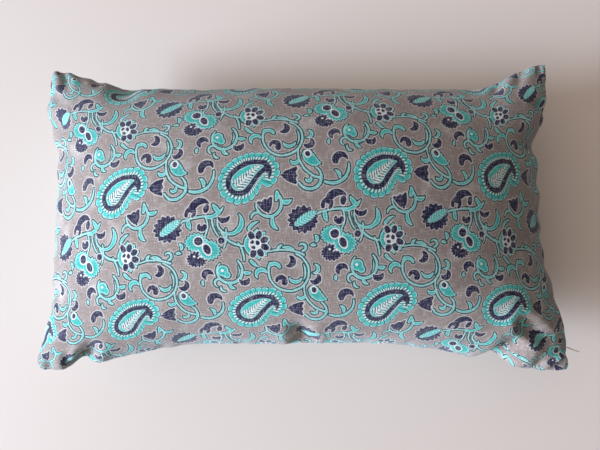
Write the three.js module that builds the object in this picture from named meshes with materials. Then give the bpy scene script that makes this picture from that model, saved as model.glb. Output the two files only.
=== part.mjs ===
// A rectangular scatter cushion: a front and a back panel of printed cotton canvas, sewn together all
// round with a plain turned seam and filled tight. It lies on its back, face up. Millimetres: X runs along
// the length, Y across the width and Z up, and the origin is on the surface that the cushion lies on,
// below the middle of its box.
import * as THREE from "three";

// The cut of both panels, from seam to seam.
const PANEL = { length: 500, width: 300 };

// How far the seam lies from the panel's centre half-way along each side. The filling draws it in.
const WAIST = { left: 234.5, right: 228, far: 125.5, near: 118.5 };

// The ears, which are the sewn corners. side and end name the corner. x and y are how far out its short
// and long seams reach there, and round is the radius of the turned corner on the flat cloth. long and short
// say between which shares of the way from the middle its long and short seams swing outwards. lift is how
// far the ear stands above the middle of the seam.
const EARS = [
  { side: -1, end: 1, x: 247, y: 147.5, long: [0.58, 1.0], short: [0.28, 0.62], round: 18, lift: -5 },
  { side: 1, end: 1, x: 239, y: 149.5, long: [0.62, 0.97], short: [0.34, 0.66], round: 32, lift: 9 },
  { side: -1, end: -1, x: 249.5, y: 145, long: [0.3, 0.95], short: [0.42, 0.9], round: 22, lift: -9 },
  { side: 1, end: -1, x: 248, y: 143, long: [0.26, 0.9], short: [0.1, 0.72], round: 22, lift: 4 },
];

// The filled form. crown is the height of the front above the seam, sink is how far below the seam the
// cushion rests, and fill is how far its back would bulge if nothing held it up. soften is how far above the
// resting face the back starts to turn flat. plump is how much fuller an ear is than the plain section.
const FORM = { crown: 68, sink: 58, fill: 78, soften: 8, plump: 0.3 };

// A section from the middle to the seam falls as (1 - d^flat)^edge, where d is the share of the way.
const SECTION = { flat: 2.2, edge: 0.62 };

// The main creases of the front, as soft troughs. from and to are points on the flat panel, measured from
// its centre, and the depth fades from the first to the second. spread is the half width.
const CREASES = [
  { name: "notch beside the near right ear", from: [165, -146], to: [190, -92], depth: 12, spread: 9 },
  { name: "pocket behind the near right ear", from: [190, -90], to: [222, -106], depth: 9, spread: 8 },
  { name: "fold beside the near left ear", from: [-194, -148], to: [-176, -106], depth: 11, spread: 8 },
  { name: "dimple at the near middle", from: [0, -140], to: [-2, -98], depth: 9, spread: 8 },
  { name: "tuck below the far right ear", from: [250, 88], to: [212, 96], depth: 7, spread: 6 },
  { name: "pull in the right seam", from: [248, 58], to: [206, 56], depth: 6, spread: 9 },
  { name: "hollow beside the far left ear", from: [-160, 148], to: [-158, 108], depth: 6, spread: 12 },
  { name: "tuck below the far left ear", from: [-240, 74], to: [-205, 80], depth: 6, spread: 9 },
];

// Places where the seam itself is pulled in, on the long side that end names or the short one that side
// names: at is how far along it, depth how far it is pulled in, and spread the half width.
const PULLS = [
  { end: -1, at: 168, depth: 11, spread: 12 },
  { end: -1, at: -194, depth: 9, spread: 10 },
  { end: 1, at: 176, depth: 3, spread: 14 },
  { side: 1, at: 60, depth: 3.5, spread: 14 },
];

// A loose end of sewing thread at the near right ear: at is where it leaves the short seam, along its
// width, and gap keeps it off the cloth.
const THREAD = { at: -113, length: 15, thickness: 0.8, droop: 3, turn: 5, gap: 0.4, steps: 10, sides: 8 };

// The mesh: steps along the length and the width, and how much closer together they lie at the seam.
const MESH = { long: 60, wide: 40, crowding: 0.8 };
const ARC_STEPS = 1500;

const CLOTH = new THREE.MeshStandardMaterial({ color: 0x7f8588, roughness: 0.9, metalness: 0 });
const COTTON = new THREE.MeshStandardMaterial({ color: 0xb9aa98, roughness: 0.8, metalness: 0 });

// The share of the full height that is left at a share d of the way from the middle to the seam.
function sectionShare(d) {
  return Math.max(1 - Math.abs(d) ** SECTION.flat, 0) ** SECTION.edge;
}

// How far the back lies below the seam: its free bulge, turned flat where the cushion rests.
function restedDepth(bulge) {
  const { sink, soften } = FORM;
  const over = THREE.MathUtils.clamp((bulge - sink + soften) / (2 * soften), 0, 1);
  return over > 0 ? sink - soften + 2 * soften * (over - (over * over) / 2) : bulge;
}

function panelHeight(share, panel) {
  return panel === "front" ? FORM.crown * share : -restedDepth(FORM.fill * share);
}

// The cloth doesn't stretch, so equal steps on the flat panel are equal steps along the curved section.
// Returns a function from a share of the half panel to a share of the half chord.
function evenAlongSection(halfChord, panel) {
  const lengths = [0];
  for (let i = 1; i <= ARC_STEPS; i += 1) {
    const before = (i - 1) / ARC_STEPS;
    const here = i / ARC_STEPS;
    const rise = panelHeight(sectionShare(here), panel) - panelHeight(sectionShare(before), panel);
    lengths.push(lengths[i - 1] + Math.hypot(halfChord / ARC_STEPS, rise));
  }
  const whole = lengths[ARC_STEPS];
  return (share) => {
    const wanted = Math.abs(share) * whole;
    const above = Math.max(1, lengths.findIndex((length) => length >= wanted - 1e-9));
    const part = (wanted - lengths[above - 1]) / (lengths[above] - lengths[above - 1]);
    return (Math.sign(share) * (above - 1 + Math.min(part, 1))) / ARC_STEPS;
  };
}

const ALONG = {};
for (const panel of ["front", "back"]) {
  ALONG[panel] = {
    length: evenAlongSection((WAIST.left + WAIST.right) / 2, panel),
    width: evenAlongSection((WAIST.far + WAIST.near) / 2, panel),
  };
}

// 1 at the middle of a hump and nearly 0 two spreads away.
function hump(distance, spread) {
  return Math.exp(-((distance / spread) ** 2));
}

// 0 before the reach of an ear begins and 1 behind its end, with a soft step between them.
function swing(part, [from, to]) {
  return THREE.MathUtils.smoothstep(part, from, to);
}

// Slides a point near a square corner so that the corner is round, with its radius on the flat cloth.
function turnedCorner(u, v, radius) {
  const halfLength = PANEL.length / 2;
  const halfWidth = PANEL.width / 2;
  const a = 1 - ((1 - Math.abs(u)) * halfLength) / radius;
  const b = 1 - ((1 - Math.abs(v)) * halfWidth) / radius;
  if (a <= 0 || b <= 0) return [u, v];
  const roundA = a * Math.sqrt(1 - (b * b) / 2);
  const roundB = b * Math.sqrt(1 - (a * a) / 2);
  const roundU = 1 - ((1 - roundA) * radius) / halfLength;
  const roundV = 1 - ((1 - roundB) * radius) / halfWidth;
  return [Math.sign(u) * roundU, Math.sign(v) * roundV];
}

// The place of a point of the flat panel on the filled cushion, without the creases. u and v run from -1
// to 1 along the panel's length and width.
function filledPoint(u, v, panel) {
  const side = u < 0 ? -1 : 1;
  const end = v < 0 ? -1 : 1;
  const ear = EARS.find((row) => row.side === side && row.end === end);
  const corner = Math.abs(u * v);
  const flatShare = sectionShare(ALONG[panel].length(u)) * sectionShare(ALONG[panel].width(v));
  const share = flatShare ** (1 - FORM.plump * corner ** 4);
  const [roundU, roundV] = turnedCorner(u, v, ear.round);
  const waistX = side < 0 ? WAIST.left : WAIST.right;
  const waistY = end < 0 ? WAIST.near : WAIST.far;
  let x = ALONG[panel].length(roundU) * (waistX + (ear.x - waistX) * swing(Math.abs(roundV), ear.short));
  let y = ALONG[panel].width(roundV) * (waistY + (ear.y - waistY) * swing(Math.abs(roundU), ear.long));
  for (const pull of PULLS) {
    if (pull.end === end) {
      y -= end * pull.depth * hump((u * PANEL.length) / 2 - pull.at, pull.spread) * Math.abs(v) ** 6;
    }
    if (pull.side === side) {
      x -= side * pull.depth * hump((v * PANEL.width) / 2 - pull.at, pull.spread) * Math.abs(u) ** 6;
    }
  }
  const lift = ear.lift * Math.max((corner - 0.3) / 0.7, 0) ** 3;
  return new THREE.Vector3(x, y, panelHeight(share, panel) + lift + FORM.sink);
}

// How deep the creases are at a point of the flat front panel. They fade at the seam, which both panels share.
function creaseDepth(u, v) {
  const at = new THREE.Vector3((u * PANEL.length) / 2, (v * PANEL.width) / 2, 0);
  const inside = (1 - Math.abs(u) ** 24) * (1 - Math.abs(v) ** 16);
  let depth = 0;
  for (const crease of CREASES) {
    const line = new THREE.Line3(new THREE.Vector3(...crease.from), new THREE.Vector3(...crease.to));
    line.start.z = 0;
    line.end.z = 0;
    const part = line.closestPointToPointParameter(at, true);
    const nearest = line.at(part, new THREE.Vector3());
    depth += crease.depth * (1 - part * part) * hump(nearest.distanceTo(at), crease.spread);
  }
  return depth * inside;
}

// The same place with the creases pressed in, square to the surface.
function cushionPoint(u, v, panel) {
  const point = filledPoint(u, v, panel);
  if (panel === "back") return point;
  const depth = creaseDepth(u, v);
  if (depth < 0.01) return point;
  const step = 0.01;
  const alongU = filledPoint(Math.min(u + step, 1), v, panel).sub(filledPoint(Math.max(u - step, -1), v, panel));
  const alongV = filledPoint(u, Math.min(v + step, 1), panel).sub(filledPoint(u, Math.max(v - step, -1), panel));
  const normal = alongU.cross(alongV).normalize();
  return point.addScaledVector(normal, -depth);
}

// Steps from -1 to 1 that lie closer together towards both ends.
function crowdedSteps(count) {
  const turn = (Math.PI / 2) * MESH.crowding;
  const steps = [];
  for (let i = 0; i <= count; i += 1) {
    steps.push(Math.sin(turn * ((2 * i) / count - 1)) / Math.sin(turn));
  }
  return steps;
}

// Both panels as one closed skin, which share the points of the seam.
function cushionGeometry() {
  const us = crowdedSteps(MESH.long);
  const vs = crowdedSteps(MESH.wide);
  const positions = [];
  const numbers = new Map();
  function pointNumber(i, j, panel) {
    const onSeam = i === 0 || j === 0 || i === MESH.long || j === MESH.wide;
    const key = [i, j, onSeam ? "front" : panel].join();
    if (!numbers.has(key)) {
      numbers.set(key, positions.length / 3);
      positions.push(...cushionPoint(us[i], vs[j], onSeam ? "front" : panel).toArray());
    }
    return numbers.get(key);
  }
  const triangles = [];
  for (let i = 0; i < MESH.long; i += 1) {
    for (let j = 0; j < MESH.wide; j += 1) {
      for (const panel of ["front", "back"]) {
        const a = pointNumber(i, j, panel);
        const b = pointNumber(i + 1, j, panel);
        const c = pointNumber(i + 1, j + 1, panel);
        const d = pointNumber(i, j + 1, panel);
        triangles.push(...(panel === "front" ? [a, b, c, a, c, d] : [a, c, b, a, d, c]));
      }
    }
  }
  const geometry = new THREE.BufferGeometry();
  geometry.setAttribute("position", new THREE.Float32BufferAttribute(positions, 3));
  geometry.setIndex(triangles);
  geometry.computeVertexNormals();
  return geometry;
}

// The thread end leaves the seam, droops and turns a little towards the near side.
function threadGeometry() {
  const root = filledPoint(1, THREAD.at / (PANEL.width / 2), "front");
  const start = root.clone().add(new THREE.Vector3(THREAD.gap + THREAD.thickness / 2, 0, 0));
  const middle = start.clone().add(new THREE.Vector3(THREAD.length * 0.5, -THREAD.turn * 0.6, -THREAD.droop * 0.3));
  const tip = start.clone().add(new THREE.Vector3(THREAD.length * 0.9, -THREAD.turn, -THREAD.droop));
  const route = new THREE.CatmullRomCurve3([start, middle, tip]);
  const section = new THREE.Shape();
  section.absarc(0, 0, THREAD.thickness / 2, 0, 2 * Math.PI);
  return new THREE.ExtrudeGeometry(section, {
    steps: THREAD.steps,
    curveSegments: THREAD.sides / 2,
    extrudePath: route,
  });
}

const cushion = new THREE.Mesh(cushionGeometry(), CLOTH);
cushion.name = "cushion";

const threadEnd = new THREE.Mesh(threadGeometry(), COTTON);
threadEnd.name = "thread_end";

// The pieces are made around the panel's centre, and the group puts the middle of their box on the origin.
const group = new THREE.Group();
group.add(cushion, threadEnd);
const box = new THREE.Box3().setFromObject(group);
const middle = box.getCenter(new THREE.Vector3());
group.position.set(-middle.x, -middle.y, -box.min.z);

export default group;
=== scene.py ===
# %% [markdown]
# # A printed and filled scatter cushion
#
# The real thing is two panels of cotton canvas, printed all over with a small paisley and flower
# repeat, sewn together round all four sides, turned, and filled tight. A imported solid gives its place
# and its size, and this lesson dresses that solid: it bends a fine net of cloth over the filled form,
# and then works the print out from nothing but arcs, spots and scallops.

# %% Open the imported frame
import bisect
import math

import bmesh
import bpy
from mathutils import Matrix, Vector, noise


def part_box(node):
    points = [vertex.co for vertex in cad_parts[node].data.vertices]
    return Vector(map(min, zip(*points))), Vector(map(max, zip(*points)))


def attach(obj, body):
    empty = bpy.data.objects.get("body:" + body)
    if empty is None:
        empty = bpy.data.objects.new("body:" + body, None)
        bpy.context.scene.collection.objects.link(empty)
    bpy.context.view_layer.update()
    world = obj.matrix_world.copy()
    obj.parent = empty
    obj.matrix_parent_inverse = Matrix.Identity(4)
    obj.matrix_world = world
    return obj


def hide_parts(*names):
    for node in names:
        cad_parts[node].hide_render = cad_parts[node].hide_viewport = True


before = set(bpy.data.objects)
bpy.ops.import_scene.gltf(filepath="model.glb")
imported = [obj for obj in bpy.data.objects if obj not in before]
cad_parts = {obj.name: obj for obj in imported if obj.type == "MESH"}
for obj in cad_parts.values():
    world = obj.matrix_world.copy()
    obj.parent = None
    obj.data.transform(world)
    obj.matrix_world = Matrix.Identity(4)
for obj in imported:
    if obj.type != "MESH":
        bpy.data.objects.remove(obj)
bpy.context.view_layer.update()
MM = 0.001
print("packed nodes:", sorted(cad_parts))


# %% Two helpers that put things in the scene
def placed(name, data):
    thing = bpy.data.objects.new(name, data)
    bpy.context.scene.collection.objects.link(thing)
    return thing


def placed_net(name, net):
    """A finished net of faces as an object. The net itself is freed."""
    mesh = bpy.data.meshes.new(name)
    net.to_mesh(mesh)
    net.free()
    return placed(name, mesh)


# %% [markdown]
# ## The filled form
#
# A cushion cover is cut flat, and filling draws its seam in: least at the corners, which stay out as
# ears, and most half-way along each side. A cloth simulation could find that form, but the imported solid
# has it already, worked out by a formula from the cut size. The same formula is used here, in
# millimetres from the panel's centre, so that the cloth starts on its solid before any fine crease is
# pressed in, and equal steps on the flat cloth stay equal steps on the curved one. That is what keeps
# the print from stretching.

# %% Sizes of the cut, the seam and the filling
PANEL = {"length": 500, "width": 300}
HALF_LONG, HALF_WIDE = PANEL["length"] / 2, PANEL["width"] / 2
WAIST = {"left": 234.5, "right": 228, "far": 125.5, "near": 118.5}
FORM = {"crown": 68, "sink": 58, "fill": 78, "soften": 8}
SECTION = {"flat": 2.2, "edge": 0.62}
ARC_STEPS = 1500

EAR_COLUMNS = ("side", "end", "x", "y", "long", "short", "round", "lift")
EAR_ROWS = (
    (-1, 1, 247, 147.5, (0.58, 1.0), (0.28, 0.62), 18, -5),
    (1, 1, 239, 149.5, (0.62, 0.97), (0.34, 0.66), 32, 9),
    (-1, -1, 249.5, 145, (0.3, 0.95), (0.42, 0.9), 22, -9),
    (1, -1, 248, 143, (0.26, 0.9), (0.1, 0.72), 22, 4),
)
EARS = {(row[0], row[1]): dict(zip(EAR_COLUMNS, row)) for row in EAR_ROWS}
EAR_FROM = 0.3
PLUMP = 0.3

PULL_COLUMNS = ("side", "end", "at", "depth", "spread")
PULL_ROWS = (
    (0, -1, 168, 11, 12),
    (0, -1, -194, 9, 10),
    (0, 1, 176, 3, 14),
    (1, 0, 60, 3.5, 14),
)
PULLS = [dict(zip(PULL_COLUMNS, row)) for row in PULL_ROWS]
print("ears:", len(EARS), "pulls along the seam:", len(PULLS))


# %% Height over the seam
def section_share(part):
    """The share of the full height that is left at a part of the way from the middle to the seam."""
    return max(1 - abs(part) ** SECTION["flat"], 0) ** SECTION["edge"]


def rested_depth(bulge):
    """How far the back lies below the seam: its free bulge, turned flat where the cushion rests."""
    sink, soften = FORM["sink"], FORM["soften"]
    over = min(max((bulge - sink + soften) / (2 * soften), 0), 1)
    return sink - soften + 2 * soften * (over - over * over / 2) if over > 0 else bulge


def panel_height(share, panel):
    return FORM["crown"] * share if panel == "front" else -rested_depth(FORM["fill"] * share)


def even_along_section(half_chord, panel):
    """A function from a share of the half panel to a share of the half chord, at equal lengths of cloth."""
    heights = [panel_height(section_share(i / ARC_STEPS), panel) for i in range(ARC_STEPS + 1)]
    lengths = [0.0]
    for before, here in zip(heights, heights[1:]):
        lengths.append(lengths[-1] + math.hypot(half_chord / ARC_STEPS, here - before))

    def along(share):
        wanted = abs(share) * lengths[-1]
        above = min(max(bisect.bisect_left(lengths, wanted), 1), ARC_STEPS)
        part = (wanted - lengths[above - 1]) / (lengths[above] - lengths[above - 1])
        return math.copysign((above - 1 + min(part, 1)) / ARC_STEPS, share)

    return along


HALF_LENGTH = (WAIST["left"] + WAIST["right"]) / 2
HALF_WIDTH = (WAIST["far"] + WAIST["near"]) / 2
ALONG_LENGTH = {panel: even_along_section(HALF_LENGTH, panel) for panel in ("front", "back")}
ALONG_WIDTH = {panel: even_along_section(HALF_WIDTH, panel) for panel in ("front", "back")}
print("half-way out on the cloth is", round(ALONG_LENGTH["front"](0.5), 3), "of the half chord")


# %% The place of a point of the flat cloth
def hump(distance, spread):
    return math.exp(-((distance / spread) ** 2))


def blend(low, high, part):
    return low + (high - low) * part


def swing(part, reach):
    """0 before the reach of an ear begins and 1 behind its end, with a soft step between them."""
    step = min(max((part - reach[0]) / (reach[1] - reach[0]), 0), 1)
    return step * step * (3 - 2 * step)


def turned_corner(u, v, radius):
    """Slides a point near a square corner so that the corner is round, with its radius on the flat cloth."""
    a = 1 - (1 - abs(u)) * HALF_LONG / radius
    b = 1 - (1 - abs(v)) * HALF_WIDE / radius
    if a <= 0 or b <= 0:
        return u, v
    a, b = a * math.sqrt(1 - b * b / 2), b * math.sqrt(1 - a * a / 2)
    round_u = 1 - (1 - a) * radius / HALF_LONG
    round_v = 1 - (1 - b) * radius / HALF_WIDE
    return math.copysign(round_u, u), math.copysign(round_v, v)


def filled_point(u, v, panel):
    """u and v run from -1 to 1 along the panel. At the seam the back follows the front, so they meet."""
    side = -1 if u < 0 else 1
    end = -1 if v < 0 else 1
    ear = EARS[side, end]
    corner = abs(u * v)

    def along(a, b):
        to_front = abs(b) ** 8, abs(a) ** 8
        return (blend(ALONG_LENGTH[panel](a), ALONG_LENGTH["front"](a), to_front[0]),
                blend(ALONG_WIDTH[panel](b), ALONG_WIDTH["front"](b), to_front[1]))

    along_length, along_width = along(u, v)
    share = section_share(along_length) * section_share(along_width)
    share **= 1 - PLUMP * corner**4
    round_u, round_v = turned_corner(u, v, ear["round"])
    if (round_u, round_v) != (u, v):
        along_length, along_width = along(round_u, round_v)
    waist_x = WAIST["left" if side < 0 else "right"]
    waist_y = WAIST["near" if end < 0 else "far"]
    x = along_length * blend(waist_x, ear["x"], swing(abs(round_v), ear["short"]))
    y = along_width * blend(waist_y, ear["y"], swing(abs(round_u), ear["long"]))
    for pull in PULLS:
        if pull["end"] == end:
            off = u * HALF_LONG - pull["at"]
            y -= end * pull["depth"] * hump(off, pull["spread"]) * abs(v) ** 6
        if pull["side"] == side:
            off = v * HALF_WIDE - pull["at"]
            x -= side * pull["depth"] * hump(off, pull["spread"]) * abs(u) ** 6
    lift = ear["lift"] * max((corner - EAR_FROM) / (1 - EAR_FROM), 0) ** 3
    return Vector((x, y, panel_height(share, panel) + lift + FORM["sink"]))


# %% [markdown]
# ## Creases and gathers
#
# Where a corner is turned, the cloth buckles: a notch and a pocket behind the near right ear, a fold
# beside the near left one, small tucks at the far ones, and a dimple at the near middle. Each is a soft
# trough along a line on the flat cloth, in the same places as in the solid, with finer ones added
# between them. Along the whole seam the cloth also gathers a little, because the thread is shorter than
# the cloth, and a slow noise along the seam gives ripples that are never evenly spaced.

# %% Creases, as soft troughs on the flat cloth
CREASE_COLUMNS = ("start", "finish", "depth", "spread")
MAIN_CREASES = (
    ((165, -146), (190, -92), 12, 9),
    ((190, -90), (222, -106), 9, 8),
    ((-194, -148), (-176, -106), 11, 8),
    ((0, -140), (-2, -98), 9, 8),
    ((250, 88), (212, 96), 7, 6),
    ((248, 58), (206, 56), 6, 9),
    ((-160, 148), (-158, 108), 6, 12),
    ((-240, 74), (-205, 80), 6, 9),
)
FINE_CREASES = (
    ((218, -144), (246, -124), 8, 3.5),
    ((249, -119), (222, -139), 7, 3.5),
    ((205, -150), (212, -118), 4, 5),
    ((176, -147), (198, -112), 3.5, 4.5),
    ((150, -147), (158, -118), 2.5, 6),
    ((249, -70), (214, -58), 3.2, 6),
    ((249, -40), (222, -30), 2.6, 5),
    ((249, 28), (204, 30), 4.5, 7),
    ((249, 2), (206, 0), 3.5, 7),
    ((249, -14), (216, -18), 2.5, 4),
    ((238, 150), (232, 122), 5, 4),
    ((214, 150), (204, 112), 3.5, 6),
    ((192, 148), (176, 112), 3.5, 6),
    ((-247, -110), (-214, -92), 3.4, 6),
    ((-205, -148), (-205, -114), 5, 5),
    ((-230, -148), (-224, -120), 3.5, 5),
    ((-248, -60), (-204, -60), 3.2, 7),
    ((-248, -24), (-206, -26), 2.6, 6),
    ((-248, 22), (-206, 20), 3.0, 7),
    ((-248, 50), (-210, 52), 3.5, 6),
    ((-247, 110), (-220, 98), 3.2, 6),
    ((-232, 148), (-214, 108), 4, 6),
    ((-190, 148), (-184, 122), 3.0, 5),
    ((9, -147), (12, -118), 4.5, 3.5),
    ((-90, 148), (-84, 128), 1.8, 6),
    ((60, 148), (64, 130), 1.6, 6),
    ((-120, -148), (-114, -126), 2.2, 5),
    ((-50, -148), (-48, -128), 2.2, 5),
    ((90, -148), (94, -126), 2.2, 5),
    ((124, -148), (120, -124), 2.4, 5),
)
SHOULDER = {"height": 0.3, "out": 1.7}
FRONT_CREASES = [dict(zip(CREASE_COLUMNS, row)) for row in MAIN_CREASES + FINE_CREASES]
print("creases on the front:", len(FRONT_CREASES))


def crease_depth(x, y):
    """How deep the creases of the front are at a point of the flat cloth, in millimetres."""
    depth = 0.0
    here = Vector((x, y))
    for crease in FRONT_CREASES:
        start = Vector(crease["start"])
        line = Vector(crease["finish"]) - start
        part = min(max((here - start).dot(line) / line.length_squared, 0), 1)
        away = (here - start - line * part).length
        spread = crease["spread"]
        if away < 4 * spread:
            raised = SHOULDER["height"] * hump(away - SHOULDER["out"] * spread, spread)
            depth += crease["depth"] * (1 - part * part) * (hump(away, spread) - raised)
    inside = (1 - abs(x / HALF_LONG) ** 24) * (1 - abs(y / HALF_WIDE) ** 16)
    return depth * inside


# %% Gathers along the seam, and the pinch of the seam itself
GATHER = {"depth": 1.9, "reach": 17, "spacing": 12, "onset": 2.5, "drift": 90}
BACK_SEED = 40.0
PINCH = {"depth": 1.1, "reach": 1.6}
LUMP = {"height": 0.9, "spacing": 85}


def gather_depth(x, y, panel):
    """Ripples that leave each seam square to it and fade out within a few centimetres."""
    offset = 0.0 if panel == "front" else BACK_SEED
    depth = 0.0
    for away, along, seed in (
        (HALF_LONG - x, y, 3.0),
        (HALF_LONG + x, y, 7.0),
        (HALF_WIDE - y, x, 11.0),
        (HALF_WIDE + y, x, 17.0),
    ):
        wave = noise.noise(Vector((along / GATHER["spacing"], seed + offset, away / GATHER["drift"])))
        fade = math.exp(-away / GATHER["reach"]) * (1 - math.exp(-away / GATHER["onset"]))
        depth += GATHER["depth"] * wave * fade
    away = min(HALF_LONG - abs(x), HALF_WIDE - abs(y))
    depth += PINCH["depth"] * hump(away, PINCH["reach"])
    corner = abs(x * y) / (HALF_LONG * HALF_WIDE)
    return depth * (1 - 0.5 * corner**12)


def cloth_point(u, v, panel):
    """The place of a point of the cloth, with its creases and gathers pressed in square to the surface."""
    x, y = u * HALF_LONG, v * HALF_WIDE
    point = filled_point(u, v, panel)
    depth = gather_depth(x, y, panel) - LUMP["height"] * noise.noise(Vector((x, y, 0)) / LUMP["spacing"])
    if panel == "front":
        depth += crease_depth(x, y)
    step = 0.01
    along_u = filled_point(min(u + step, 1), v, panel) - filled_point(max(u - step, -1), v, panel)
    along_v = filled_point(u, min(v + step, 1), panel) - filled_point(u, max(v - step, -1), panel)
    normal = along_u.cross(along_v).normalized()
    if panel == "back":
        normal = -normal
    point -= normal * depth
    point.z = max(point.z, 0.0)
    return point


# %% [markdown]
# ## The cover
#
# Each panel starts as a flat grid whose lines crowd together towards the seam, where the cloth turns
# most. Before it is bent, every corner of every face notes its place on the flat cloth in a UV map, so
# the print and the weave can follow the cloth however it creases. A second map packs both panels side by
# side for a baked picture. The back panel is the same grid turned over, and the two share the seam. The
# filling pulls the front a little out of its grain, so its places are shifted by some millimetres: in a
# slow curve both ways, and eased a little more towards both ends and along the near side.

# %% How far the grain has slid
GRAIN = {"across": 175, "up": 92, "limit": 1.2, "aside": 2.5}
OUTWARD = {"middle": 5.4, "tilt": 2.9, "round": 5.4}
SAG = {"ends": 4.2, "middle": 1.25, "tilt": 4.6}
EASE = {"near_right": (8, -5.5), "far_right": -4, "left": -4.5}
NEAR_EASE = {"amount": 5, "across": 0.33, "spread": 0.25}


def grain_shift(x, y):
    """How far the cloth's grain has slid under a point of the front, in millimetres."""
    limit = GRAIN["limit"]
    across = min(max(x / GRAIN["across"], -limit), limit)
    up = min(max(y / GRAIN["up"], -limit), limit)
    outward = OUTWARD["middle"] + OUTWARD["tilt"] * up - OUTWARD["round"] * up * up
    sag = SAG["ends"] * across**2 - (1 - across**2) * (SAG["middle"] + SAG["tilt"] * up)
    far, near = max(up, 0), max(-up, 0)
    left, right = max(-across, 0), max(across, 0)
    ease_x = EASE["near_right"][0] * right * near**2 + EASE["left"] * left * min(far + 0.25, 1)
    ease_y = EASE["near_right"][1] * right * near + EASE["far_right"] * right * far
    ease_y += NEAR_EASE["amount"] * near**2 * hump(across - NEAR_EASE["across"], NEAR_EASE["spread"])
    return Vector((GRAIN["aside"] - across * outward + ease_x, sag + ease_y))


# %% Cut the two panels and note their cloth coordinates
NET = {"long": 236, "wide": 148, "crowding": 0.86}
BAKE_SCALE = 0.8
BAKE_MARGIN = 0.01
BACK_CUT = Vector((0.037, -0.021))


def crowded(share):
    turn = math.pi / 2 * NET["crowding"]
    return math.sin(turn * share) / math.sin(turn)


def cut_panel(net, panel):
    """A grid from -1 to 1 whose face corners know their place on the flat cloth, in metres."""
    made = bmesh.ops.create_grid(net, x_segments=NET["long"], y_segments=NET["wide"], size=1.0)
    for vert in made["verts"]:
        vert.co.x = crowded(vert.co.x)
        vert.co.y = crowded(vert.co.y)
    cloth = net.loops.layers.uv.get("Cloth") or net.loops.layers.uv.new("Cloth")
    packed = net.loops.layers.uv.get("OFBake") or net.loops.layers.uv.new("OFBake")
    faces = {face for vert in made["verts"] for face in vert.link_faces}
    shape = PANEL["width"] / PANEL["length"]
    for face in faces:
        for corner in face.loops:
            u, v = corner.vert.co.x, corner.vert.co.y
            x, y = u * HALF_LONG, v * HALF_WIDE
            pulled = (Vector((x, y)) + grain_shift(x, y)) * MM
            turned = Vector((-x, y)) * MM + BACK_CUT
            corner[cloth].uv = pulled if panel == "front" else turned
            row = 0 if panel == "front" else 1
            place = Vector(((u + 1) / 2, (v + 1) / 2 * shape)) * BAKE_SCALE
            corner[packed].uv = place + Vector((0, row * (BAKE_SCALE * shape + BAKE_MARGIN)))
    return made["verts"], faces


# %% Bend both panels over the filled form and join them at the seam
def centre_of_panel():
    """Where the panel's centre lies in the frame: the solid's box says, because both have one outline."""
    steps = [i / 200 - 1 for i in range(401)]
    rim = [filled_point(u, end, "front") for u in steps for end in (-1, 1)]
    rim += [filled_point(side, v, "front") for v in steps for side in (-1, 1)]
    low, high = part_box("cushion")
    middle_x = (min(p.x for p in rim) + max(p.x for p in rim)) / 2
    middle_y = (min(p.y for p in rim) + max(p.y for p in rim)) / 2
    return Vector(((low.x + high.x) / 2 - middle_x * MM, (low.y + high.y) / 2 - middle_y * MM, 0))


CENTRE = centre_of_panel()
print("panel centre in the frame, mm:", [round(c / MM, 2) for c in CENTRE])

cover_net = bmesh.new()
for panel in ("front", "back"):
    verts, faces = cut_panel(cover_net, panel)
    if panel == "back":
        bmesh.ops.reverse_faces(cover_net, faces=list(faces))
    for vert in verts:
        vert.co = cloth_point(vert.co.x, vert.co.y, panel) * MM + CENTRE
rim = [vert for vert in cover_net.verts if vert.is_boundary]
bmesh.ops.remove_doubles(cover_net, verts=rim, dist=0.02 * MM)
for face in cover_net.faces:
    face.smooth = True
cover = placed_net("printed_cover", cover_net)
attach(cover, "root")
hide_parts("cushion")
print("cover faces:", len(cover.data.polygons))

# %% [markdown]
# ## The loose end of thread
#
# A cut end of the sewing thread sticks out of the seam at the near right ear. Thread is two yarns laid
# round each other, so two thin tubes are drawn along one short bent route, half a turn apart. Each tube
# starts as a small circle that is extruded ring by ring.

# %% Twist two yarns along the route
THREAD = {"at": -113, "length": 15, "thickness": 0.8, "droop": 3, "turn": 5, "gap": 0.4}
YARN = {"radius": 0.32, "lay": 0.22, "turns": 4.5, "steps": 60, "sides": 8, "thinning": 0.35}


def thread_route(part):
    """A point of the route, in millimetres, on one curve through its root, its middle and its tip."""
    root = filled_point(1, THREAD["at"] / HALF_WIDE, "front")
    start = root + Vector((THREAD["gap"] + THREAD["thickness"] / 2, 0, 0))
    middle = start + Vector((THREAD["length"] * 0.5, -THREAD["turn"] * 0.6, -THREAD["droop"] * 0.3))
    tip = start + Vector((THREAD["length"] * 0.9, -THREAD["turn"], -THREAD["droop"]))
    to_start, to_middle, to_tip = (1 - part) * (1 - 2 * part), 4 * part * (1 - part), part * (2 * part - 1)
    return start * to_start + middle * to_middle + tip * to_tip


def yarn_frame(part, phase):
    """Where a ring of one yarn stands: on the route, off to one side by its lay, square to the way on."""
    step = 0.01
    ahead = (thread_route(part + step) - thread_route(part - step)).normalized()
    square = ahead.to_track_quat("Z", "Y").to_matrix()
    angle = 2 * math.pi * (YARN["turns"] * part + phase)
    aside = square @ Vector((math.cos(angle), math.sin(angle), 0)) * YARN["lay"]
    return Matrix.Translation((thread_route(part) + aside) * MM + CENTRE) @ square.to_4x4()


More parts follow.
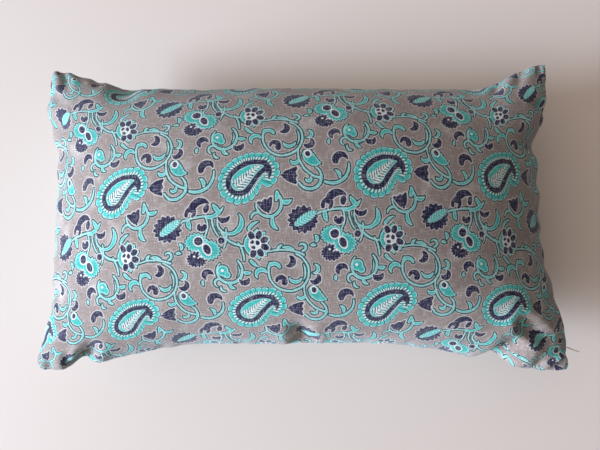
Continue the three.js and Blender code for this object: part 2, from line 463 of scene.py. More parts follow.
thread_net = bmesh.new()
for phase in (0.0, 0.5):
    ring = bmesh.ops.create_circle(
        thread_net, cap_ends=False, segments=YARN["sides"], radius=YARN["radius"] * MM
    )["verts"]
    flat_places = [vert.co.copy() for vert in ring]
    rings = [ring]
    for step in range(YARN["steps"]):
        edges = [edge for edge in thread_net.edges if all(v in rings[-1] for v in edge.verts)]
        grown = bmesh.ops.extrude_edge_only(thread_net, edges=edges)["geom"]
        fresh = {item for item in grown if isinstance(item, bmesh.types.BMVert)}
        ordered = []
        for vert in rings[-1]:
            ordered += [e.other_vert(vert) for e in vert.link_edges if e.other_vert(vert) in fresh]
        rings.append(ordered)
    for count, ordered in enumerate(rings):
        part = count / YARN["steps"]
        thin = 1 - YARN["thinning"] * part**6
        place = yarn_frame(part, phase)
        for vert, flat_place in zip(ordered, flat_places):
            vert.co = place @ (flat_place * thin)
    bmesh.ops.contextual_create(thread_net, geom=rings[0])
    bmesh.ops.contextual_create(thread_net, geom=rings[-1])
bmesh.ops.recalc_face_normals(thread_net, faces=thread_net.faces)
for face in thread_net.faces:
    face.smooth = len(face.verts) == 4
thread = placed_net("loose_thread", thread_net)
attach(thread, "root")
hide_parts("thread_end")
print("thread faces:", len(thread.data.polygons))

# %% [markdown]
# ## Sums in a material
#
# The print has no picture behind it. Each motif is a distance: how far a point of the cloth is from an
# arc, a spot or a scallop, less than nothing inside it. Shader nodes can work that out, but a wall of
# hand-placed Math nodes can't be read. So a small class stands for the number that a socket gives, and
# its sums and products add the nodes.


# %% A number that nodes work out
class Amount:
    """The number that one socket gives at each point of the cloth."""

    def __init__(self, socket):
        self.socket = socket
        self.tree = socket.id_data

    def __add__(self, other):
        return calc("ADD", self, other)

    def __sub__(self, other):
        return calc("SUBTRACT", self, other)

    def __rsub__(self, other):
        return calc("SUBTRACT", other, self)

    def __mul__(self, other):
        return calc("MULTIPLY", self, other)

    __radd__ = __add__
    __rmul__ = __mul__


def plug(value, socket):
    """Feeds a socket with an amount, another socket or a plain value."""
    if isinstance(value, Amount):
        value = value.socket
    if isinstance(value, bpy.types.NodeSocket):
        socket.id_data.links.new(value, socket)
    else:
        socket.default_value = value


def calc(operation, *values, clamp=False):
    tree = next(value.tree for value in values if isinstance(value, Amount))
    node = tree.nodes.new("ShaderNodeMath")
    node.operation = operation
    node.use_clamp = clamp
    for slot, value in enumerate(values):
        plug(value, node.inputs[slot])
    return Amount(node.outputs[0])


def nearest(*amounts):
    low = amounts[0]
    for amount in amounts[1:]:
        low = calc("MINIMUM", low, amount)
    return low


def vector_calc(operation, *values):
    node = values[0].id_data.nodes.new("ShaderNodeVectorMath")
    node.operation = operation
    for slot, value in enumerate(values):
        plug(value, node.inputs[slot])
    return node


def dot(vector, direction):
    return Amount(vector_calc("DOT_PRODUCT", vector, direction).outputs["Value"])


def length(across, up):
    return calc("SQRT", calc("MULTIPLY_ADD", up, up, across * across))


# %% [markdown]
# ## Motifs
#
# The print repeats every 108 mm both ways. A point is first wrapped into the one repeat that has a
# motif's centre in its middle, and then moved and turned so that the motif lies straight. Most of a
# hand-cut block is curls: lines that bend round a centre and swell or thin as they go. One node group
# measures such a curl exactly, so its outline and its pale halo stay even all the way round. The nodes
# are made in the order in which they are worked out, and pass on plain numbers, because a render keeps
# every number that a later node still needs, and has room for only 255 of them.

# %% Wrap a point into a motif's own repeat
REPEAT = 108


def around(point, centre, turn=0, stretch=(1, 1), home=None):
    """The point across and up from a motif's centre, along axes that are turned by degrees and stretched.

    The repeat that a point is wrapped into lies round home, or round the centre where none is given.
    """
    half = REPEAT / 2
    home = home or centre
    high = (home[0] + half, home[1] + half, 0)
    low = (home[0] - half, home[1] - half, 0)
    wrapped = vector_calc("WRAP", point, high, low).outputs[0]
    local = vector_calc("SUBTRACT", wrapped, (centre[0], centre[1], 0)).outputs[0]
    cosine, sine = math.cos(math.radians(turn)), math.sin(math.radians(turn))
    across = dot(local, (cosine / stretch[0], sine / stretch[0], 0))
    up = dot(local, (-sine / stretch[1], cosine / stretch[1], 0))
    return across, up


# %% Measure a curl
CURL_INPUTS = ("Across", "Up", "Span", "Radius", "Growth", "Half width", "Swell", "Taper")


def curl_group():
    """The distance from a tapered arc round the origin, whose middle lies along X."""
    group = bpy.data.node_groups.new("Curl", "ShaderNodeTree")
    for name in CURL_INPUTS:
        group.interface.new_socket(name, in_out="INPUT", socket_type="NodeSocketFloat")
    group.interface.new_socket("Distance", in_out="OUTPUT", socket_type="NodeSocketFloat")
    given = group.nodes.new("NodeGroupInput")
    across, up, span, radius, growth, half_width, swell, taper = map(Amount, given.outputs[:-1])
    angle = calc("ARCTAN2", up, across)
    part = calc("ADD", calc("DIVIDE", angle, span), 0.5, clamp=True)
    held = (part - 0.5) * span
    reach = calc("MULTIPLY_ADD", growth, part, radius)
    away = length(across - calc("COSINE", held) * reach, up - calc("SINE", held) * reach)
    width = calc("MULTIPLY_ADD", calc("MULTIPLY_ADD", taper, part, swell), part, half_width)
    result = group.nodes.new("NodeGroupOutput")
    plug(away - width, result.inputs[0])
    return group


CURL = curl_group()
CURL_COLUMNS = ("x", "y", "r0", "r1", "from", "to", "w0", "wm", "w1")


def curl(point, *row):
    """A curl from one angle to another round a centre, with its half width at its start, middle and end."""
    made = dict(zip(CURL_COLUMNS, row))
    w0, wm, w1 = made["w0"], made["wm"], made["w1"]
    taper = 2 * (w1 + w0 - 2 * wm)
    middle = (made["from"] + made["to"]) / 2
    half_way = Vector((made["r0"] + made["r1"], 0)) / 2
    half_way.rotate(Matrix.Rotation(math.radians(middle), 2))
    home = (made["x"] + half_way.x, made["y"] + half_way.y)
    across, up = around(point, (made["x"], made["y"]), middle, home=home)
    span = math.radians(made["to"] - made["from"])
    growth, swell = made["r1"] - made["r0"], w1 - w0 - taper
    node = point.id_data.nodes.new("ShaderNodeGroup")
    node.node_tree = CURL
    for socket, value in zip(node.inputs, (across, up, span, made["r0"], growth, w0, swell, taper)):
        plug(value, socket)
    return Amount(node.outputs[0])


# %% Measure a spot and a scalloped petal
def spot(point, centre, radii, turn=0):
    """The distance from an oval. It is exact on a circle and close enough near an oval's edge."""
    return (length(*around(point, centre, turn, radii)) - 1) * min(radii)


def nearest_of(motif, point, rows):
    """The distance from the nearest of several motifs of one kind, each made from its row."""
    near = motif(point, *rows[0])
    for row in rows[1:]:
        near = nearest(near, motif(point, *row))
    return near


def scalloped(point, centre, radius, bump, count, stretch=(1, 1)):
    """A round petal with a toothed edge, where bump is how far its teeth stand out."""
    across, up = around(point, centre, 0, stretch)
    tooth = calc("PINGPONG", calc("ARCTAN2", up, across) * (count / (2 * math.pi)), 0.5)
    return length(across, up) - radius - tooth * (2 * bump)


# %% [markdown]
# ## The block's drawing
#
# Every row below is one curl, charted in millimetres from the middle of a paisley. The block has
# a large ring scroll, vines with tulips and buds, a small ring scroll, a branch with berries, and a
# round flower, a feathered flower and a pair of toothed petals between them.

# %% Turquoise curls
RING_SCROLL = (
    (27.5, 32, 16.3, 16.3, 152, 270, 1.0, 0.8, 0.9),
    (27.5, 32, 16.3, 15.5, 270, 425, 0.9, 0.8, 0.7),
    (16.2, 34.6, 4.6, 4.4, 165, 20, 0.7, 1.5, 1.1),
    (5.6, 30.4, 4.4, 4.2, 215, 30, 0.3, 1.9, 0.9),
    (32.5, 28.6, 5.2, 5.2, 195, 335, 0.3, 1.5, 0.6),
    (27.5, 32, 13.2, 13.0, -30, 25, 0.3, 0.7, 0.3),
    (47.6, 33.8, 3.6, 3.4, 80, -105, 0.4, 1.4, 0.4),
)
VINES = (
    (61, 17, 22.0, 21.4, 172, 258, 0.7, 0.8, 0.9),
    (66.0, 5.8, 14.2, 13.4, 243, 366, 0.9, 1.2, 0.5),
    (66.4, -3.4, 5.6, 5.0, 75, -5, 0.2, 1.4, 1.0),
    (47.4, -2.8, 9.3, 9.3, 205, 415, 0.7, 1.1, 0.6),
    (46.5, -3.2, 2.6, 2.2, 200, 380, 0.4, 1.4, 0.5),
    (36.2, 12.4, 3.4, 3.4, 190, 355, 0.3, 1.6, 0.6),
)
SMALL_SCROLL = (
    (-20.6, 35, 11.2, 9.4, 45, -225, 0.7, 1.1, 0.5),
    (-20.6, 35, 8.6, 8.4, 25, -40, 0.2, 0.5, 0.2),
    (-36, 50, 29.5, 26, -14, 16, 0.6, 0.8, 0.5),
    (-30.2, 25.2, 3.4, 3.2, 60, 250, 0.7, 0.9, 0.4),
    (-16.4, 24.4, 5.0, 4.6, 160, 262, 0.4, 1.3, 0.3),
    (-25.6, 20.6, 3.2, 3.0, 150, 285, 0.3, 0.9, 0.3),
    (-5.6, 38.2, 5.6, 5.6, 250, 300, 1.3, 1.5, 0.2),
    (-38.8, 25.4, 4.8, 4.6, 150, 200, 0.6, 1.2, 0.4),
)
TULIP_CUP = (
    (14.6, -21.4, 9.8, 9.8, 178, 400, 0.6, 1.1, 0.9),
    (12.4, -14.4, 9.2, 9.0, -30, 12, 1.0, 1.7, 0.9),
    (28.6, -16.2, 5.0, 4.8, 235, 320, 1.2, 1.7, 0.3),
    (4.6, -33.2, 4.6, 6.2, 165, 60, 0.4, 1.0, 0.7),
    (24.4, -36, 8.2, 7.0, 150, 235, 0.8, 1.7, 0.5),
    (-17, -33.6, 9.6, 9.6, 165, 300, 0.7, 0.9, 1.5),
    (-17, -33.6, 9.6, 9.8, -60, 35, 1.5, 1.9, 0.4),
    (-14, -11, 17.0, 17.6, 208, 236, 0.7, 1.8, 0.8),
    (-5, -33, 20.5, 20.5, 205, 268, 0.7, 0.9, 0.7),
    (-45, -34, 25.5, 30, -12, -42, 0.6, 0.7, 0.5),
)
BRANCH = (
    (70, -91, 63, 63.4, 111, 85, 0.9, 0.8, 0.9),
    (72.5, -11.5, 17.5, 17.5, -88, -35, 1.0, 1.6, 0.3),
    (68.0, -33, 10.2, 9.4, 155, 208, 0.5, 1.8, 0.3),
    (58, -36, 16.2, 14.6, 28, -32, 0.5, 0.7, 0.5),
    (100, -32, 23.0, 22.0, 168, 214, 0.6, 0.7, 0.5),
    (47.6, -50.6, 3.4, 3.4, -50, 60, 0.3, 1.5, 0.3),
    (21, 8, 42, 42, 104, 63, 0.5, 0.7, 0.8),
    (24.5, 50, 4.4, 4.2, 175, 105, 1.0, 1.1, 0.2),
    (24, 36.4, 15.6, 15.6, 92, 56, 0.3, 1.3, 0.3),
    (38.9, 51.3, 2.9, 2.7, -90, 150, 0.7, 1.0, 0.3),
    (47.6, 45.6, 7.2, 7.0, 105, 70, 0.4, 1.2, 0.3),
    (8, -46, 11.5, 11.5, 100, 150, 0.2, 1.2, 1.2),
    (8, -60, 11.5, 11.5, -150, -110, 1.2, 1.2, 0.2),
)
TURQUOISE_CURLS = RING_SCROLL + VINES + SMALL_SCROLL + TULIP_CUP + BRANCH

# %% Navy commas, crescents and berries
NAVY_CURLS = (
    (20.4, 24.4, 3.3, 3.2, 175, -25, 0.8, 1.9, 2.2),
    (27.2, 40.6, 4.2, 3.6, 70, -110, 0.4, 2.3, 0.5),
    (47.4, 26.4, 3.7, 3.7, 215, 405, 0.3, 2.2, 0.4),
    (73.4, 9.2, 4.4, 5.4, 185, 10, 2.2, 2.6, 0.3),
    (-8.8, 28.2, 3.9, 3.7, 195, 352, 0.3, 2.2, 0.6),
    (-37.6, 31.4, 4.0, 3.6, 15, 225, 0.3, 2.3, 0.3),
    (-21.2, -27.6, 4.6, 4.6, 202, 338, 0.4, 1.9, 0.4),
    (69.0, -35.0, 2.4, 2.2, 150, 350, 0.4, 2.3, 1.4),
    (69.5, -24.0, 8.6, 8.6, 165, 48, 2.0, 2.7, 0.3),
    (61.0, -25.0, 4.2, 4.2, 190, 95, 1.2, 1.4, 1.7),
    (58.0, -23.0, 5.6, 5.6, -42, 10, 1.0, 1.3, 1.4),
)
NAVY_SPOTS = (
    ((-24.5, -48), (2.3, 2.3)),
    ((73.2, -21.6), (2.0, 3.1), -15),
    ((-0.2, -50.6), (1.5, 1.3)),
    ((4.2, -51.6), (1.3, 1.6)),
    ((0.6, -55.2), (1.4, 1.3)),
)
FLOWER = {"centre": (2.6, -52.6), "petal": (3.0, 2.15), "out": 7.6, "first": -108, "last": 112, "petals": 6}
SHELL = {"stretch": (0.92, 0.86), "radius": 8.4, "teeth": 11, "tooth": 5.5}
FEATHER = {"centre": (42.6, -34.2), "turn": 31, "half_length": 11.5, "half": 3.9, "pitch": 2.5, "barb": 1.4}
BUD = {"centre": (50, 14), "fringe": 1.7, "body": (58.5, 20, 12.6, 12.4, 200, 262, 4.3, 4.2, 0.8)}
TULIP_COLUMNS = ("centre", "turn", "length", "half")
TULIPS = (((13.8, -27.2), 106, 9.6, 6.2), ((26.0, -0.3), -4, 11.4, 6.9))
STALK = {"half": 0.6, "length": 1.2}
SLANT = 0.8
print("curls in one repeat:", len(TURQUOISE_CURLS) + len(NAVY_CURLS))


# %% Flowers that are more than curls
def tulip(point, row):
    """A bud that opens from its stalk, with three pointed teeth along its open end."""
    made = dict(zip(TULIP_COLUMNS, row))
    out, aside = around(point, made["centre"], made["turn"])
    opened = calc("POWER", calc("MULTIPLY", out, 1 / made["length"], clamp=True), 0.5)
    sides = calc("ABSOLUTE", aside) - (opened * (made["half"] - STALK["half"]) + STALK["half"])
    teeth = calc("PINGPONG", aside, 0.4 * made["half"]) * 0.5
    end = (out - made["length"] + teeth) * 0.7
    return calc("MAXIMUM", calc("MAXIMUM", sides, end), -STALK["length"] - out)


def flower_petals(point):
    """Navy petals that stand out round the right of the round flower, like the fingers of a hand."""
    rows = []
    for count in range(FLOWER["petals"]):
        angle = blend(FLOWER["first"], FLOWER["last"], count / (FLOWER["petals"] - 1))
        way = Vector((math.cos(math.radians(angle)), math.sin(math.radians(angle))))
        centre = Vector(FLOWER["centre"]) + way * FLOWER["out"]
        rows.append((tuple(centre), FLOWER["petal"], angle))
    return nearest_of(spot, point, rows)


# %% A toothed shell, a feather and a fringed bud
def saw(amount, pitch):
    """0 to 0.5 and back again, once for every pitch."""
    return calc("PINGPONG", amount * (1 / pitch), 0.5)


def round_flower_shell(point):
    """The turquoise shell behind the round flower's navy petals, toothed between them."""
    out, up = around(point, FLOWER["centre"])
    teeth = calc("PINGPONG", calc("ARCTAN2", up, out) * (SHELL["teeth"] / (2 * math.pi)), 0.5)
    right = calc("MULTIPLY_ADD", out, 0.2, 0.5, clamp=True)
    away = length(out * SHELL["stretch"][0], up * SHELL["stretch"][1]) - SHELL["radius"]
    return away - teeth * right * SHELL["tooth"]


def feather(point):
    """The barbed feather across the navy flower, and its barbs, which run between 0 and 0.5."""
    out, up = around(point, FEATHER["centre"], FEATHER["turn"])
    barbs = saw(out - calc("ABSOLUTE", up) * SLANT, FEATHER["pitch"])
    edge = (length(out * (1 / FEATHER["half_length"]), up * (1 / FEATHER["half"])) - 1) * FEATHER["half"]
    return edge + barbs * FEATHER["barb"], barbs


def bud_body(point):
    """The body of the bud on the vine, fringed along the side that faces away from its stalk."""
    out, up = around(point, BUD["centre"])
    fringe = saw(up + out * 0.3, BUD["fringe"]) * calc("GREATER_THAN", out + up * 0.5, 0)
    return curl(point, *BUD["body"]) + fringe


# %% [markdown]
# ## The paisley
#
# The paisley is a fat curl with a hooked one at its end. Round its navy rim stand 22 scallops, with
# their dark parting lines and small pale strokes, and inside it a pale feather of seeds lies across the
# turquoise. All of them read the same distance from the two curls, so they follow it like growth rings.

# %% Distances that make the paisley
PAISLEY_BODY = (15.8, -21.8, 30.3, 30.3, 141.7, 99.9, 11.2, 9.6, 5.1)
PAISLEY_HOOK = (9.6, 1.6, 6.3, 6.3, 100, -33, 5.3, 3.0, 0.4)
PAISLEY = {"lobes": 11, "ring": 4.8, "lobe": 2.1, "centre": (-0.5, 1.5)}
SEED = {"centre": (-1.5, 0.9), "turn": 41, "half": 3.5, "narrowing": 0.19, "length": 12.0}
SEED |= {"pitch": 2.6, "midrib": 0.3, "pale": 0.26, "dark": 0.36, "patch": 1.6, "uneven": 0.9}


def paisley(point):
    """The distances from the tear and from its ring, and two waves round it: scallops and strokes."""
    tear = nearest(curl(point, *PAISLEY_BODY), curl(point, *PAISLEY_HOOK))
    out, up = around(point, PAISLEY["centre"])
    angle = calc("ARCTAN2", up, out)
    lobe = calc("ABSOLUTE", calc("COSINE", angle * PAISLEY["lobes"]))
    ring = tear - PAISLEY["ring"] - calc("SQRT", lobe) * PAISLEY["lobe"]
    stroke = calc("COSINE", angle * (4 * PAISLEY["lobes"]))
    return tear, ring, lobe, stroke


def seed_feather(point):
    """The pale seeds and the dark gaps between them: slanting teeth each side of a thin midrib."""
    out, up = around(point, SEED["centre"], SEED["turn"])
    aside = calc("ABSOLUTE", up)
    inside = calc("LESS_THAN", aside + out * SEED["narrowing"], SEED["half"])
    inside = inside * calc("LESS_THAN", calc("ABSOLUTE", out), SEED["length"])
    patchy = Amount(cloth_noise(point, SEED["patch"]).outputs["Fac"])
    teeth = saw(out - aside * SLANT, SEED["pitch"]) + (patchy - 0.5) * SEED["uneven"]
    midrib = calc("LESS_THAN", aside, SEED["midrib"])
    pale = calc("MAXIMUM", calc("LESS_THAN", teeth, SEED["pale"]), midrib) * inside
    return pale, calc("GREATER_THAN", teeth, SEED["dark"]) * inside


# %% [markdown]
# ## Printing the colours
#
# A hand printer lays the colours one over the other: a dark outline, pale turquoise inside it, full
# turquoise down the middle, navy on top, and bare pale cloth where the blocks don't quite meet. The
# ground colour is thin in patches. Here each colour is mixed over the ones before it wherever its
# distance says so, with an edge softened by a fraction of a millimetre. The point itself is first
# shifted by a small noise, so that no line is cleaner than a carved block's.

# %% Colours of the cloth and the inks
def srgb(red, green, blue):
    """A colour as it is picked from a chart of 0 to 255, for a node."""
    def lin(c):
        c /= 255
        return c / 12.92 if c <= 0.04045 else ((c + 0.055) / 1.055) ** 2.4
    return (lin(red), lin(green), lin(blue), 1)


GROUND = srgb(153, 141, 137)
PALE = srgb(238, 240, 241)
PALE_TURQUOISE = srgb(170, 222, 224)
TURQUOISE = srgb(58, 201, 196)
DARK_TEAL = srgb(9, 68, 67)
NAVY = srgb(26, 23, 68)
EDGE = 0.18
WOBBLE = {"amount": 0.55, "spacing": 5}
PRINT = {"origin": (0.0695, 0.029, 0), "turn": 2.7}


def over(tree, under, colour, share, way="MIX"):
    """One colour laid over another where share is 1. A Mix node has sockets for other kinds of data too."""
    mix = tree.nodes.new("ShaderNodeMix")
    mix.data_type = "RGBA"
    mix.blend_type = way
    live = {socket.name: socket for socket in mix.inputs if socket.enabled}
    plug(share, live["Factor"])
    plug(under, live["A"])
    plug(colour, live["B"])
    return next(socket for socket in mix.outputs if socket.enabled)


def within(distance, grow=0.0, strength=1.0):
    """The strength inside a motif that is grown by some millimetres, and nothing outside it."""
    covered = calc("MULTIPLY_ADD", distance - grow, -1 / (2 * EDGE), 0.5, clamp=True)
    return covered if strength == 1.0 else covered * strength


# %% Noise on the cloth
def cloth_noise(point, spacing, detail=2.0):
    """Noise of about the given spacing, from 0 to 1."""
    node = point.id_data.nodes.new("ShaderNodeTexNoise")
    node.noise_dimensions = "3D"
    plug(point, node.inputs["Vector"])
    node.inputs["Scale"].default_value = 1 / spacing
    node.inputs["Detail"].default_value = detail
    return node


def stretched_noise(point, sizes):
    """Noise drawn out along one direction, as thick places in a yarn are."""
    scaled = vector_calc("DIVIDE", point, (sizes[0], sizes[1], 1)).outputs[0]
    return Amount(cloth_noise(scaled, 1).outputs["Fac"])


# %% Everything that is turquoise
TOOTHED_PETALS = (
    ((63.4, -48.0), 6.4, 1.5, 17, (1.25, 1.0)),
    ((73.2, -55.0), 6.6, 1.5, 17, (1.2, 1.05)),
)
SMALL_BUD = (((-25.4, 35.4), (4.6, 4.6)), ((-22.6, 32.0), (3.0, 3.0)))


def turquoise_motifs(point):
    """The distance from all the turquoise ones, and from the toothed petals alone."""
    turquoise = nearest_of(curl, point, TURQUOISE_CURLS)
    petals = nearest_of(scalloped, point, TOOTHED_PETALS)
    small_bud = nearest_of(spot, point, SMALL_BUD)
    shell_and_bud = bud_body(point), round_flower_shell(point)
    return nearest(turquoise, petals, small_bud, *shell_and_bud), petals


# %% Everything that is navy, and what is pale on top
NAVY_FLOWER = ((40.6, -35.0), 9.0, 2.2, 15, (1.1, 1.0))
LOW_PETAL = ((62.4, -61.8), 6.0, 1.6, 16, (1.15, 0.9))
LOW_PETAL_GAP = 0.6
RINGED_SPOTS = (((65.2, -47.2), (3.4, 3.4)), ((71.6, -54.2), (2.7, 4.0), 25), ((46.8, 16.2), (1.9, 2.2), 20))
RINGS = ((0.5, 0.4), (0.5, 0.35), (0.6, 0.45))
FACE = ((2.0, -52.8), (4.7, 4.3))
FACE_RING = 0.4
GLINTS = (((60.6, -59.2), (0.9, 0.9)), ((-26.0, 35.8), (1.2, 1.2)))
BENT_GLINT = (66, -62.6, 3, 3, 60, 150, 0.3, 0.5, 0.3)


def navy_motifs(point, petals):
    """The distance from all the navy ones, and from each of the spots that have a pale ring."""
    navy = nearest(
        nearest_of(curl, point, NAVY_CURLS), nearest_of(spot, point, NAVY_SPOTS), flower_petals(point)
    )
    for row in TULIPS:
        navy = nearest(navy, tulip(point, row))
    navy = nearest(navy, scalloped(point, *NAVY_FLOWER))
    low_petal = calc("MAXIMUM", scalloped(point, *LOW_PETAL), LOW_PETAL_GAP - petals)
    ringed = [spot(point, *row) for row in RINGED_SPOTS]
    return nearest(navy, low_petal, *ringed), ringed


def pale_motifs(point, face, ringed):
    """The distance from the pale rings and glints. A ring is a narrow band a little outside its spot."""
    rings = [calc("ABSOLUTE", face) - FACE_RING]
    for away, (out, half) in zip(ringed, RINGS):
        rings.append(calc("ABSOLUTE", away - out) - half)
    glints = [spot(point, *row) for row in GLINTS]
    return nearest(*rings, *glints, curl(point, *BENT_GLINT))


# %% Colours, one layer over the other
CURL_LAYERS = ((PALE, 1.7, 0.45), (DARK_TEAL, 1.15), (PALE_TURQUOISE, -0.05), (TURQUOISE, -0.75))
NAVY_LAYERS = ((PALE, 1.05, 0.65), (NAVY, 0.3))
FEATHER_LAYERS = ((DARK_TEAL, 0.3), (PALE_TURQUOISE, -0.2))
RING_LAYERS = ((PALE, 0.9, 0.5), (DARK_TEAL, 0.5), (PALE_TURQUOISE, -0.4), (TURQUOISE, -1.3))
TEAR_LAYERS = ((NAVY, 0.0), (DARK_TEAL, -3.9), (PALE_TURQUOISE, -4.2), (TURQUOISE, -4.9))
WORN = {"spacing": 26, "detail": 5.0, "slope": 4.5, "from": -2.5, "strength": 0.45}
CUTS = {"slant": (4.6, 2.2, 0), "from": 0.55, "inside": -1.7, "strength": 0.7}
BARBS = {"from": 0.22, "inside": -0.4}
FACE_STRENGTH = 0.75
PARTING = {"below": 0.2, "outside": 2.2, "inside": -0.3, "strength": 0.9}
STROKES = {"from": 0.1, "reach": 2.3, "strength": 0.9}
BETWEEN = {"below": -0.6, "reach": 2.7, "strength": 0.8}
SEEDS_INSIDE = -4.5


def layered(tree, colour, distance, layers):
    """Lays colours over a motif in turn. Each row is a colour, how far it is grown, and its strength."""
    for ink, *grown in layers:
        colour = over(tree, colour, ink, within(distance, *grown))
    return colour


def paisley_colours(tree, colour, paisley_parts, seeds, gaps):
    tear, scallops, lobe, stroke = paisley_parts
    colour = layered(tree, colour, scallops, RING_LAYERS)
    outside = calc("GREATER_THAN", tear, PARTING["outside"])
    parting = calc("LESS_THAN", lobe, PARTING["below"]) * outside * within(scallops, PARTING["inside"])
    colour = over(tree, colour, DARK_TEAL, parting * PARTING["strength"])
    strokes = calc("GREATER_THAN", stroke, STROKES["from"]) * within(tear, STROKES["reach"])
    colour = over(tree, colour, PALE, strokes * STROKES["strength"])
    between = calc("LESS_THAN", stroke, BETWEEN["below"]) * within(tear, BETWEEN["reach"])
    colour = over(tree, colour, DARK_TEAL, between * BETWEEN["strength"])
    colour = layered(tree, colour, tear, TEAR_LAYERS)
    inner = within(tear, SEEDS_INSIDE)
    colour = over(tree, colour, DARK_TEAL, gaps * inner)
    return over(tree, colour, PALE, seeds * inner)


# %% The print as one node group
def wandering_point(still):
    """The point shifted by a slow noise, as a carved line wanders."""
    wander = cloth_noise(still, WOBBLE["spacing"]).outputs["Color"]
    shift = vector_calc("SUBTRACT", wander, (0.5, 0.5, 0.5)).outputs[0]
    scaled = vector_calc("MULTIPLY", shift, (2 * WOBBLE["amount"],) * 3).outputs[0]
    return vector_calc("ADD", still, scaled).outputs[0]


def print_group():
    group = bpy.data.node_groups.new("Paisley print", "ShaderNodeTree")
    group.interface.new_socket("Cloth mm", in_out="INPUT", socket_type="NodeSocketVector")
    group.interface.new_socket("Colour", in_out="OUTPUT", socket_type="NodeSocketColor")
    still = group.nodes.new("NodeGroupInput").outputs[0]
    point = wandering_point(still)
    turquoise, petals = turquoise_motifs(point)
    navy, ringed = navy_motifs(point, petals)
    face = spot(point, *FACE)
    pale = pale_motifs(point, face, ringed)
    feather_edge, barbs = feather(point)
    seeds, gaps = seed_feather(point)
    paisley_parts = paisley(point)

    patches = Amount(cloth_noise(still, WORN["spacing"], WORN["detail"]).outputs["Fac"])
    worn = calc("MULTIPLY_ADD", patches, WORN["slope"], WORN["from"], clamp=True) * WORN["strength"]
    colour = over(group, GROUND, PALE, worn)
    colour = layered(group, colour, turquoise, CURL_LAYERS)
    carved = calc("SINE", dot(point, CUTS["slant"]))
    cuts = calc("GREATER_THAN", carved, CUTS["from"]) * within(turquoise, CUTS["inside"])
    colour = over(group, colour, DARK_TEAL, cuts * CUTS["strength"])
    colour = over(group, colour, PALE, within(face, 0, FACE_STRENGTH))
    colour = layered(group, colour, navy, NAVY_LAYERS)
    colour = layered(group, colour, feather_edge, FEATHER_LAYERS)
    striped = calc("GREATER_THAN", barbs, BARBS["from"]) * within(feather_edge, BARBS["inside"])
    colour = over(group, colour, TURQUOISE, striped)
    colour = over(group, colour, PALE, within(pale))
    colour = paisley_colours(group, colour, paisley_parts, seeds, gaps)

    plug(colour, group.nodes.new("NodeGroupOutput").inputs[0])
    print("nodes in the print:", len(group.nodes))
    return group


# %% [markdown]
# ## Canvas
#
# Up close the cloth is a plain canvas of slightly uneven yarns, which take the ink unevenly: thick
# places show as short pale streaks along the length and the width. The weave itself is half a
# millimetre, far finer than the mesh, so it is bump. A faint cool sheen stands for the fine fibres
# that catch the light at a glancing angle.

# %% Three helpers for materials
def new_material(name):
    """A material and its one shader, which is already joined to the output."""
    material = bpy.data.materials.new(name)
    material.use_nodes = True
    shader = next(node for node in material.node_tree.nodes if node.type == "BSDF_PRINCIPLED")
    return material, shader


def set_inputs(node, values):
    for name, value in values.items():
        node.inputs[name].default_value = value


def add_bump(shader, height, distance, strength=1.0):
    """Lights a surface as if it rose by the height, times a distance in millimetres."""
    bump = shader.id_data.nodes.new("ShaderNodeBump")
    set_inputs(bump, {"Strength": strength, "Distance": distance * MM})
    plug(height, bump.inputs["Height"])
    plug(bump.outputs[0], shader.inputs["Normal"])


# %% The printed canvas
YARN_PITCH = 0.55
STREAKS = ((0.8, 7.0), (7.0, 0.8))
BARE = {"slope": 3.2, "strength": 0.28}
SHADE = {"base": 0.72, "streaks": 0.28, "mottle": 0.35, "spacing": 22}
WEAVE_BUMP = {"strength": 0.5, "height": 0.12, "streaks": 1.5}
CANVAS = {"Roughness": 0.86, "Specular IOR Level": 0.3, "Sheen Weight": 0.38, "Sheen Roughness": 0.45}
CANVAS |= {"Sheen Tint": srgb(226, 240, 255)}


def canvas_material():
    material, shader = new_material("printed_canvas")
    tree = material.node_tree
    cloth_map = tree.nodes.new("ShaderNodeUVMap")
    cloth_map.uv_map = "Cloth"
    flat_mm = vector_calc("SCALE", cloth_map.outputs[0])
    set_inputs(flat_mm, {"Scale": 1 / MM})
    flat = flat_mm.outputs[0]
    laid = tree.nodes.new("ShaderNodeMapping")
    laid.vector_type = "TEXTURE"
    turn = (0, 0, math.radians(PRINT["turn"]))
    set_inputs(laid, {"Location": PRINT["origin"], "Rotation": turn, "Scale": (MM, MM, MM)})
    tree.links.new(cloth_map.outputs[0], laid.inputs["Vector"])
    printed = tree.nodes.new("ShaderNodeGroup")
    printed.node_tree = print_group()
    tree.links.new(laid.outputs[0], printed.inputs[0])

    streaks = stretched_noise(flat, STREAKS[0]) + stretched_noise(flat, STREAKS[1])
    mottle = Amount(cloth_noise(flat, SHADE["spacing"]).outputs["Fac"])
    bare = calc("MULTIPLY_ADD", streaks, BARE["slope"], -BARE["slope"], clamp=True) * BARE["strength"]
    colour = over(tree, printed.outputs[0], PALE, bare)
    shade = SHADE["base"] + SHADE["streaks"] * streaks + (mottle - 0.5) * SHADE["mottle"]
    tint = tree.nodes.new("ShaderNodeCombineColor")
    for socket in tint.inputs[:3]:
        plug(shade, socket)
    plug(over(tree, colour, tint.outputs[0], 1, "MULTIPLY"), shader.inputs["Base Color"])

    across, up = dot(flat, (1, 0, 0)), dot(flat, (0, 1, 0))
    wave = 2 * math.pi / YARN_PITCH
    weave = calc("SINE", across * wave) * calc("SINE", up * wave)
    raised = weave + streaks * WEAVE_BUMP["streaks"]
    add_bump(shader, raised, WEAVE_BUMP["height"], WEAVE_BUMP["strength"])
    set_inputs(shader, CANVAS)
    return material


cover.data.materials.append(canvas_material())


# %% The sewing thread
THREAD_SHADES = (srgb(176, 164, 152), srgb(222, 214, 204))
FUZZ = {"spacing": 0.5, "height": 0.05, "roughness": 0.8}


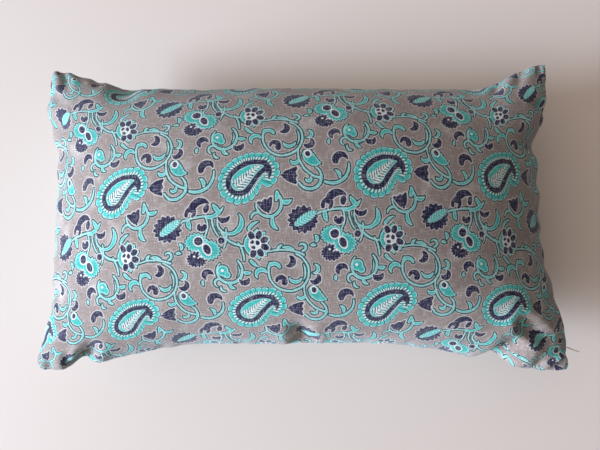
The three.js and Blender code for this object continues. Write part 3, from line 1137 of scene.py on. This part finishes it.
def thread_material():
    material, shader = new_material("sewing_thread")
    tree = material.node_tree
    places = tree.nodes.new("ShaderNodeTexCoord")
    point = vector_calc("SCALE", places.outputs["Object"])
    set_inputs(point, {"Scale": 1 / MM})
    fuzz = Amount(cloth_noise(point.outputs[0], FUZZ["spacing"]).outputs["Fac"])
    lighter = calc("MULTIPLY_ADD", fuzz, 2, -0.5, clamp=True)
    plug(over(tree, *THREAD_SHADES, lighter), shader.inputs["Base Color"])
    add_bump(shader, fuzz, FUZZ["height"])
    set_inputs(shader, {"Roughness": FUZZ["roughness"]})
    return material


thread.data.materials.append(thread_material())


# %% [markdown]
# ## Camera, floor and light
#
# The photograph looks almost straight down from about 40 cm, which is why the crown looks larger than
# the ears. A soft window stands to the left, and a warm, dim room lights the rest, less and less towards
# the right. So the floor falls off to the right, and the shadow there is brown.

# %% Camera
CAMERA = {"distance": 416, "lean": 4.5, "aim": (-1.1, -7.3), "lens": 26.0}


def make_camera():
    camera = placed("camera", bpy.data.cameras.new("camera"))
    lean = math.radians(CAMERA["lean"])
    aim = Vector((*CAMERA["aim"], FORM["sink"])) * MM + CENTRE
    camera.location = aim + Vector((0, -math.sin(lean), math.cos(lean))) * CAMERA["distance"] * MM
    camera.rotation_euler = (lean, 0, 0)
    camera.data.sensor_width = 36
    camera.data.lens = CAMERA["lens"]
    camera.data.clip_start = 0.01
    return camera


bpy.context.scene.camera = make_camera()


# %% Floor
FLOOR = {"half": 4, "below": 0.3, "colour": srgb(237, 229, 224), "roughness": 0.7}


def make_floor():
    net = bmesh.new()
    bmesh.ops.create_grid(net, x_segments=4, y_segments=4, size=FLOOR["half"])
    bmesh.ops.translate(net, verts=net.verts, vec=(0, 0, -FLOOR["below"] * MM))
    floor = placed_net("floor", net)
    material, shader = new_material("pale_floor")
    set_inputs(shader, {"Base Color": FLOOR["colour"], "Roughness": FLOOR["roughness"]})
    floor.data.materials.append(material)


make_floor()

# %% Light
WINDOW = {"place": (-3.2, -0.9, 1.07), "size": 1.3, "power": 202, "colour": (0.86, 0.965, 1.12)}
ROOM = {"colour": (1.0, 0.84, 0.74), "strength": 0.315, "fall": 2.2}


def make_lights():
    light = bpy.data.lights.new("window", "AREA")
    light.size = WINDOW["size"]
    light.energy = WINDOW["power"]
    light.color = WINDOW["colour"]
    window = placed("window", light)
    window.location = WINDOW["place"]
    window.rotation_euler = (-Vector(WINDOW["place"])).to_track_quat("-Z", "Y").to_euler()
    world = bpy.data.worlds.new("room")
    world.use_nodes = True
    room = next(node for node in world.node_tree.nodes if node.type == "BACKGROUND")
    room.inputs["Color"].default_value = (*ROOM["colour"], 1)
    ways = world.node_tree.nodes.new("ShaderNodeTexCoord")
    to_right = dot(ways.outputs["Generated"], (1, 0, 0))
    plug(ROOM["strength"] * calc("POWER", 1 - to_right, ROOM["fall"]), room.inputs["Strength"])
    bpy.context.scene.world = world


make_lights()
bpy.context.scene.view_settings.view_transform = "Standard"

# %% Finish
print("finished")
